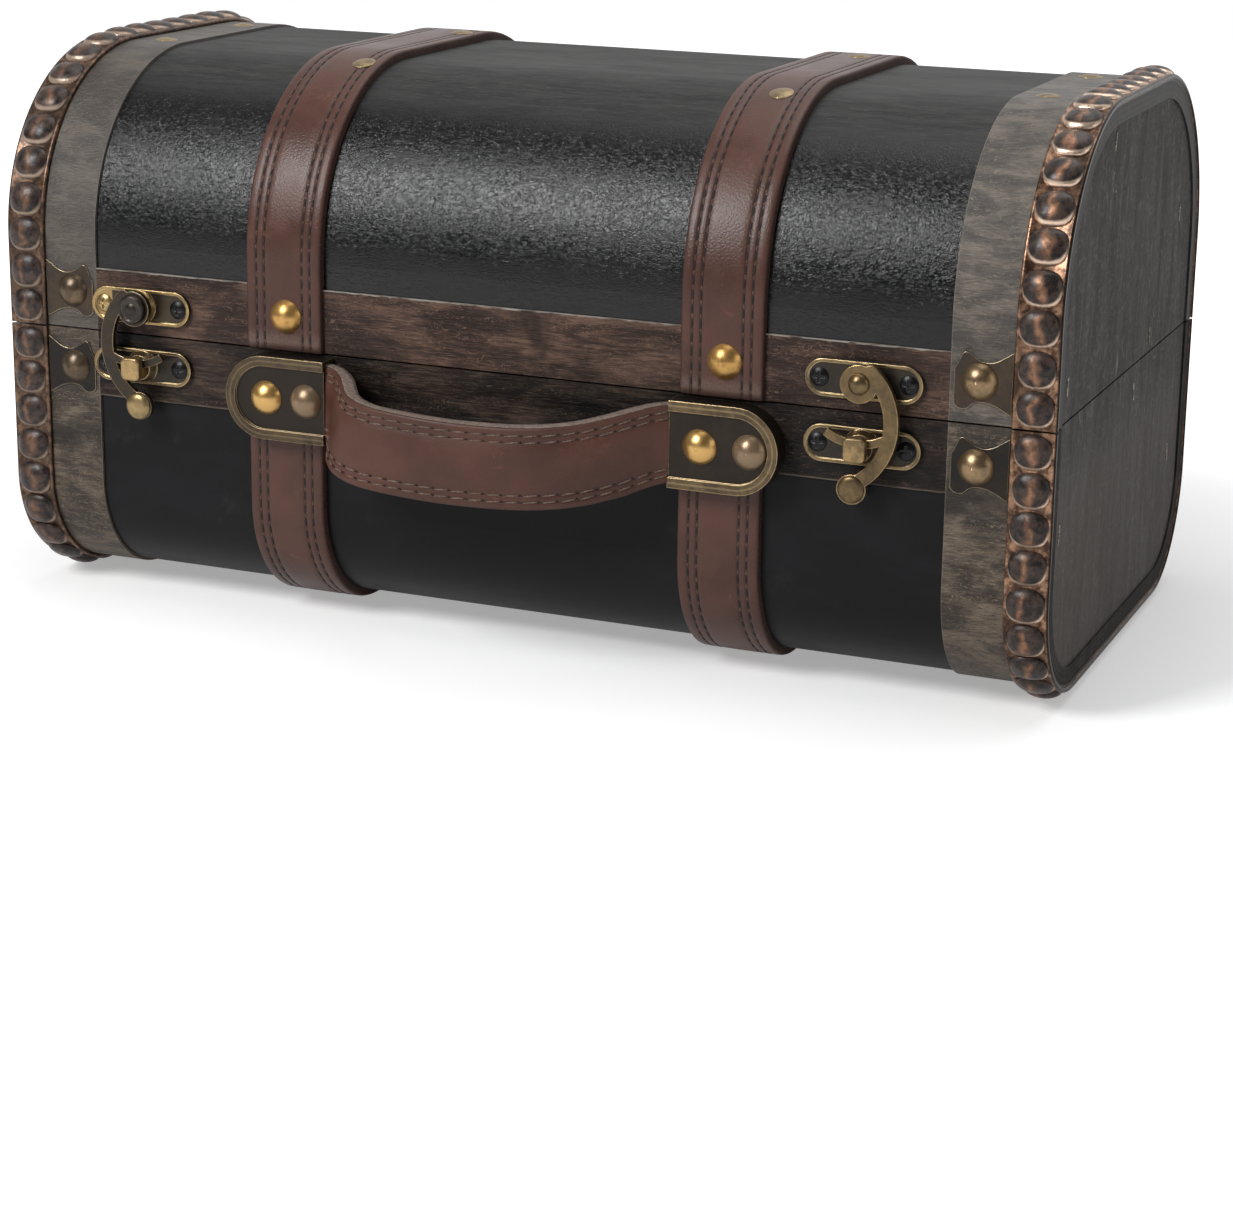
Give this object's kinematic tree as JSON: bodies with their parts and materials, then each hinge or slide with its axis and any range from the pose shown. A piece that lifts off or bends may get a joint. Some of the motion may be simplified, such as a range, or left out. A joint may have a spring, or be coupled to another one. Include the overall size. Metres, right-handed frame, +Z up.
{
  "type": "trunk",
  "caption": "Small black wooden trunk with a round-shouldered hinged lid, leather straps and handle, beaded copper end trims and swing-hook clasps.",
  "frame": {"origin": "on the floor, under the middle of the trunk's length and depth", "axes": "+X along the trunk's length towards its right-hand end, -Y towards the front with the clasps and the handle, +Z up"},
  "size_m": [0.32, 0.1933, 0.165],
  "materials": {
    "black_board": "black semi-gloss over fine grain",
    "end_panel": "dark grey, scuffed",
    "rail_veneer": "dark brown, distressed",
    "band_veneer": "weathered grey-brown",
    "copper_trim": "antiqued copper, worn",
    "strap_leather": "reddish brown, stitched",
    "corner_metal": "dark bronze",
    "antique_brass": "antiqued, bright on the edges",
    "black_screw": "black"
  },
  "bodies": {
    "base": {"base_front_board": "black_board", "base_bottom_board": "black_board", "base_back_board": "black_board", "base_left_end_board": "end_panel", "base_right_end_board": "end_panel", "base_front_rail": "rail_veneer", "base_back_rail": "rail_veneer", "base_left_band": "band_veneer", "base_right_band": "band_veneer", "base_left_trim": "copper_trim", "base_right_trim": "copper_trim", "base_left_strap": "strap_leather", "base_right_strap": "strap_leather", "left_handle_tab": "strap_leather", "right_handle_tab": "strap_leather", "base_corner_plates": "corner_metal", "base_corner_rivets": "antique_brass", "left_handle_plate": "antique_brass", "right_handle_plate": "antique_brass", "handle_plate_rivets": "antique_brass", "left_keeper_plate": "antique_brass", "right_keeper_plate": "antique_brass", "left_keeper_post": "antique_brass", "right_keeper_post": "antique_brass", "left_hinge_base_leaf": "antique_brass", "right_hinge_base_leaf": "antique_brass", "hinge_pins": "antique_brass", "keeper_screws": "black_screw", "base_hinge_screws": "black_screw"},
    "lid": {"lid_left_end_board": "end_panel", "lid_right_end_board": "end_panel", "lid_front_board": "black_board", "lid_middle_board": "black_board", "lid_back_board": "black_board", "lid_front_rail": "rail_veneer", "lid_back_rail": "rail_veneer", "lid_left_band": "band_veneer", "lid_right_band": "band_veneer", "lid_left_trim": "copper_trim", "lid_right_trim": "copper_trim", "lid_corner_plates": "corner_metal", "lid_corner_rivets": "antique_brass", "lid_left_strap": "strap_leather", "lid_right_strap": "strap_leather", "lid_strap_rivets": "antique_brass", "lid_strap_tacks": "antique_brass", "lid_band_tacks": "antique_brass", "left_latch_plate": "antique_brass", "right_latch_plate": "antique_brass", "left_latch_rivet": "antique_brass", "right_latch_rivet": "antique_brass", "latch_screws": "black_screw", "left_hinge_lid_leaf": "antique_brass", "right_hinge_lid_leaf": "antique_brass", "lid_hinge_screws": "black_screw"},
    "left_hook": {"left_hook": "antique_brass"},
    "right_hook": {"right_hook": "antique_brass"},
    "handle": {"handle_grip": "strap_leather"}
  },
  "joints": [
    {"name": "lid_hinge", "type": "hinge", "parent": "base", "child": "lid", "pos_m": [0, 0.0848, 0.082], "axis": [-1, 0, 0], "range_deg": [0, 105]},
    {"name": "right_hook_pivot", "type": "hinge", "parent": "lid", "child": "right_hook", "pos_m": [0.1072, -0.0855, 0.0907], "axis": [0, -1, 0], "range_deg": [0, 110]},
    {"name": "left_hook_pivot", "type": "hinge", "parent": "lid", "child": "left_hook", "pos_m": [-0.1148, -0.0855, 0.0907], "axis": [0, 1, 0], "range_deg": [0, 110]},
    {"name": "handle_swing", "type": "hinge", "parent": "base", "child": "handle", "pos_m": [0.0011, -0.0879, 0.069], "axis": [-1, 0, 0], "range_deg": [-12, 18], "stiffness_Nm_per_rad": 0.15}
  ]
}
